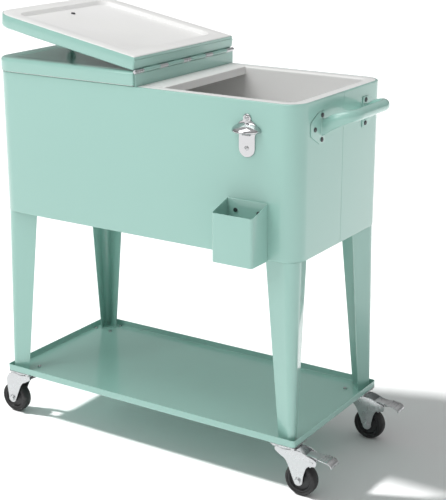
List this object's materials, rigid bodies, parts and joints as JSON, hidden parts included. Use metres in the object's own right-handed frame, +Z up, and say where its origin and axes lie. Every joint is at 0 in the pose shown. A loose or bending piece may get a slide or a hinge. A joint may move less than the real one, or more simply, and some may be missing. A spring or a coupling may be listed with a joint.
{
  "type": "patio cooler cart",
  "caption": "Insulated chest on tapered legs over a shelf tray, with two folding lids, end handles, a front bottle opener, a cap catcher and swivel casters.",
  "frame": {"origin": "on the floor, under the middle of the whole cart's bounding box", "axes": "+X to the right end seen from the front, +Y to the back, +Z up; front with the opener faces -Y"},
  "size_m": [0.9576, 0.4514, 0.9919],
  "materials": {
    "mint_paint": "glossy mint powder coat",
    "white_plastic": "white moulded liner",
    "foam": "rigid insulating foam",
    "polished_steel": "polished chrome-plated metal",
    "zinc": "bright zinc-plated steel",
    "dark_steel": "dark steel fasteners",
    "hinge_steel": "plain stainless steel",
    "tyre": "black solid tyre",
    "wheel_plastic": "black moulded nylon",
    "drain_plastic": "black moulded plastic"
  },
  "bodies": {
    "cabinet": {"shell_front": "mint_paint", "shell_rear": "mint_paint", "bottom_panel": "mint_paint", "insulation": "foam", "liner_tub": "white_plastic", "centre_beam": "white_plastic", "drain_spout": "drain_plastic", "drain_nut": "drain_plastic", "centre_web": "mint_paint", "web_barrels": "hinge_steel", "web_screws": "hinge_steel", "hinge_pin": "hinge_steel", "right_handle": "mint_paint", "left_handle": "mint_paint", "handle_screws": "dark_steel", "bottle_opener": "polished_steel", "opener_screws": "zinc", "cap_catcher": "mint_paint", "catcher_screws": "dark_steel", "tray": "mint_paint", "leg_bolts": "dark_steel", "caster_plates": "zinc", "caster_bolts": "zinc", "front_left_leg": "mint_paint", "front_right_leg": "mint_paint", "rear_left_leg": "mint_paint", "rear_right_leg": "mint_paint"},
    "left_lid": {"left_lid_cover": "mint_paint", "left_lid_liner": "white_plastic", "left_lid_foam": "foam", "left_hinge_leaf": "mint_paint", "left_knob": "polished_steel", "left_knob_screw": "dark_steel"},
    "right_lid": {"right_lid_cover": "mint_paint", "right_lid_liner": "white_plastic", "right_lid_foam": "foam", "right_hinge_leaf": "mint_paint", "right_knob": "polished_steel", "right_knob_screw": "dark_steel"},
    "front_left_caster": {"front_left_fork": "zinc", "front_left_axle": "zinc"},
    "front_left_roller": {"front_left_wheel": "wheel_plastic", "front_left_tyre": "tyre"},
    "front_right_caster": {"front_right_fork": "zinc", "front_right_axle": "zinc"},
    "front_right_roller": {"front_right_wheel": "wheel_plastic", "front_right_tyre": "tyre"},
    "front_right_pedal": {"front_right_brake_pedal": "zinc"},
    "rear_left_caster": {"rear_left_fork": "zinc", "rear_left_axle": "zinc"},
    "rear_left_roller": {"rear_left_wheel": "wheel_plastic", "rear_left_tyre": "tyre"},
    "rear_right_caster": {"rear_right_fork": "zinc", "rear_right_axle": "zinc"},
    "rear_right_roller": {"rear_right_wheel": "wheel_plastic", "rear_right_tyre": "tyre"},
    "rear_right_pedal": {"rear_right_brake_pedal": "zinc"},
    "cap": {"drain_cap": "drain_plastic"}
  },
  "joints": [
    {"name": "left_lid_hinge", "type": "hinge", "parent": "cabinet", "child": "left_lid", "pos_m": [-0.00734, 0.02875, 0.889], "axis": [0, 1, 0], "range_deg": [0, 169.6]},
    {"name": "right_lid_hinge", "type": "hinge", "parent": "left_lid", "child": "right_lid", "pos_m": [-0.00734, 0.02875, 0.889], "axis": [0, -1, 0], "range_deg": [-169.6, 0]},
    {"name": "front_left_swivel", "type": "hinge", "parent": "cabinet", "child": "front_left_caster", "pos_m": [-0.37934, -0.13725, 0.11], "axis": [0, 0, 1], "continuous": true},
    {"name": "front_left_roll", "type": "hinge", "parent": "front_left_caster", "child": "front_left_roller", "pos_m": [-0.41334, -0.13725, 0.0375], "axis": [0, 1, 0], "continuous": true},
    {"name": "front_right_swivel", "type": "hinge", "parent": "cabinet", "child": "front_right_caster", "pos_m": [0.36466, -0.13725, 0.11], "axis": [0, 0, 1], "continuous": true},
    {"name": "front_right_roll", "type": "hinge", "parent": "front_right_caster", "child": "front_right_roller", "pos_m": [0.39866, -0.13725, 0.0375], "axis": [0, 1, 0], "continuous": true},
    {"name": "front_right_brake", "type": "hinge", "parent": "front_right_caster", "child": "front_right_pedal", "pos_m": [0.43066, -0.13725, 0.088], "axis": [0, 1, 0], "range_deg": [0, 10]},
    {"name": "rear_left_swivel", "type": "hinge", "parent": "cabinet", "child": "rear_left_caster", "pos_m": [-0.37934, 0.19475, 0.11], "axis": [0, 0, 1], "continuous": true},
    {"name": "rear_left_roll", "type": "hinge", "parent": "rear_left_caster", "child": "rear_left_roller", "pos_m": [-0.41334, 0.19475, 0.0375], "axis": [0, 1, 0], "continuous": true},
    {"name": "rear_right_swivel", "type": "hinge", "parent": "cabinet", "child": "rear_right_caster", "pos_m": [0.36466, 0.19475, 0.11], "axis": [0, 0, 1], "continuous": true},
    {"name": "rear_right_roll", "type": "hinge", "parent": "rear_right_caster", "child": "rear_right_roller", "pos_m": [0.39866, 0.19475, 0.0375], "axis": [0, 1, 0], "continuous": true},
    {"name": "rear_right_brake", "type": "hinge", "parent": "rear_right_caster", "child": "rear_right_pedal", "pos_m": [0.43066, 0.19475, 0.088], "axis": [0, 1, 0], "range_deg": [0, 10]},
    {"name": "drain_cap_pull", "type": "slide", "parent": "cabinet", "child": "cap", "axis": [-1, 0, 0], "range_m": [0, 0.03]}
  ]
}
